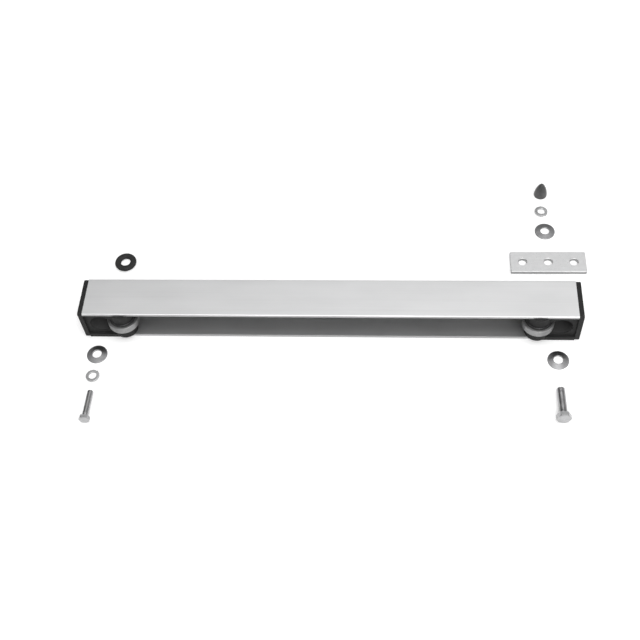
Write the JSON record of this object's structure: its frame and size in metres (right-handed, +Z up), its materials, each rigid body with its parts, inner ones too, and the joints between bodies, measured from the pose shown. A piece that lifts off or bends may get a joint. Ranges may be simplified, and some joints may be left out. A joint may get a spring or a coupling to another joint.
{
  "type": "sliding barn door roller rail",
  "caption": "Aluminium roller rail for a sliding barn door, with plug-in end rollers and its loose bolts, washers, fixing plate, buffer ring and cone nut laid out beside it.",
  "frame": {"origin": "middle of the channel's back flange, on the bench it lies on", "axes": "+X along the rail towards the end with the fixing plate, +Y towards the web that bolts to the door, +Z up from the bench towards the fascia"},
  "size_m": [0.5155, 0.2994, 0.04],
  "materials": {
    "satin_aluminium": "satin anodised, fine lines along the rail",
    "black_moulding": "fine moulded texture",
    "wheel_moulding": "smooth moulded",
    "dark_moulding": "smooth, slightly worn",
    "black_rubber": "matt",
    "tread_steel": "turned",
    "bearing_steel": "ground, darkened by oil",
    "cage_brass": "pressed",
    "zinc_steel": "bright zinc",
    "washer_steel": "darker, slightly oiled steel",
    "zinc_plate": "bright zinc, satin",
    "bolt_steel": "bright zinc",
    "screw_steel": "zinc"
  },
  "bodies": {
    "rail": {"rail_channel": "satin_aluminium"},
    "left_roller_unit": {"left_end_cap": "black_moulding", "left_cap_screws": "screw_steel", "left_roller_housing": "black_moulding", "left_axle": "bearing_steel", "left_axle_spacers": "zinc_steel", "left_inner_race": "bearing_steel"},
    "left_roller": {"left_outer_race": "bearing_steel", "left_balls": "bearing_steel", "left_ball_cage": "cage_brass", "left_bearing_seals": "black_rubber", "left_wheel_hub": "wheel_moulding", "left_wheel_tyre": "tread_steel"},
    "right_roller_unit": {"right_end_cap": "black_moulding", "right_cap_screws": "screw_steel", "right_roller_housing": "black_moulding", "right_axle": "bearing_steel", "right_axle_spacers": "zinc_steel", "right_inner_race": "bearing_steel"},
    "right_roller": {"right_outer_race": "bearing_steel", "right_balls": "bearing_steel", "right_ball_cage": "cage_brass", "right_bearing_seals": "black_rubber", "right_wheel_hub": "wheel_moulding", "right_wheel_tyre": "tread_steel"},
    "buffer_ring_piece": {"buffer_ring": "black_rubber"},
    "left_flat_washer_piece": {"left_flat_washer": "washer_steel"},
    "left_spring_washer_piece": {"left_spring_washer": "zinc_steel"},
    "left_bolt_piece": {"left_bolt": "bolt_steel"},
    "fixing_plate_piece": {"fixing_plate": "zinc_plate"},
    "rear_flat_washer_piece": {"rear_flat_washer": "washer_steel"},
    "rear_spring_washer_piece": {"rear_spring_washer": "zinc_steel"},
    "cone_nut_piece": {"cone_nut": "dark_moulding"},
    "right_flat_washer_piece": {"right_flat_washer": "washer_steel"},
    "right_bolt_piece": {"right_bolt": "bolt_steel"}
  },
  "joints": [
    {"name": "left_unit_slide", "type": "slide", "parent": "rail", "child": "left_roller_unit", "axis": [-1, 0, 0], "range_m": [0, 0.06]},
    {"name": "left_roller_spin", "type": "hinge", "parent": "left_roller_unit", "child": "left_roller", "pos_m": [-0.208, -0.013, 0.02], "axis": [0, 0, 1], "continuous": true},
    {"name": "right_unit_slide", "type": "slide", "parent": "rail", "child": "right_roller_unit", "axis": [1, 0, 0], "range_m": [0, 0.06]},
    {"name": "right_roller_spin", "type": "hinge", "parent": "right_roller_unit", "child": "right_roller", "pos_m": [0.208, -0.013, 0.02], "axis": [0, 0, 1], "continuous": true},
    {"name": "buffer_ring_lift", "type": "slide", "parent": "rail", "child": "buffer_ring_piece", "axis": [0, 0, 1], "range_m": [0, 0.06]},
    {"name": "left_flat_washer_lift", "type": "slide", "parent": "rail", "child": "left_flat_washer_piece", "axis": [0, 0, 1], "range_m": [0, 0.06]},
    {"name": "left_spring_washer_lift", "type": "slide", "parent": "rail", "child": "left_spring_washer_piece", "axis": [0, 0, 1], "range_m": [0, 0.06]},
    {"name": "left_bolt_lift", "type": "slide", "parent": "rail", "child": "left_bolt_piece", "axis": [0, 0, 1], "range_m": [0, 0.06]},
    {"name": "fixing_plate_lift", "type": "slide", "parent": "rail", "child": "fixing_plate_piece", "axis": [0, 0, 1], "range_m": [0, 0.06]},
    {"name": "rear_flat_washer_lift", "type": "slide", "parent": "rail", "child": "rear_flat_washer_piece", "axis": [0, 0, 1], "range_m": [0, 0.06]},
    {"name": "rear_spring_washer_lift", "type": "slide", "parent": "rail", "child": "rear_spring_washer_piece", "axis": [0, 0, 1], "range_m": [0, 0.06]},
    {"name": "cone_nut_lift", "type": "slide", "parent": "rail", "child": "cone_nut_piece", "axis": [0, 0, 1], "range_m": [0, 0.06]},
    {"name": "right_flat_washer_lift", "type": "slide", "parent": "rail", "child": "right_flat_washer_piece", "axis": [0, 0, 1], "range_m": [0, 0.06]},
    {"name": "right_bolt_lift", "type": "slide", "parent": "rail", "child": "right_bolt_piece", "axis": [0, 0, 1], "range_m": [0, 0.06]}
  ]
}
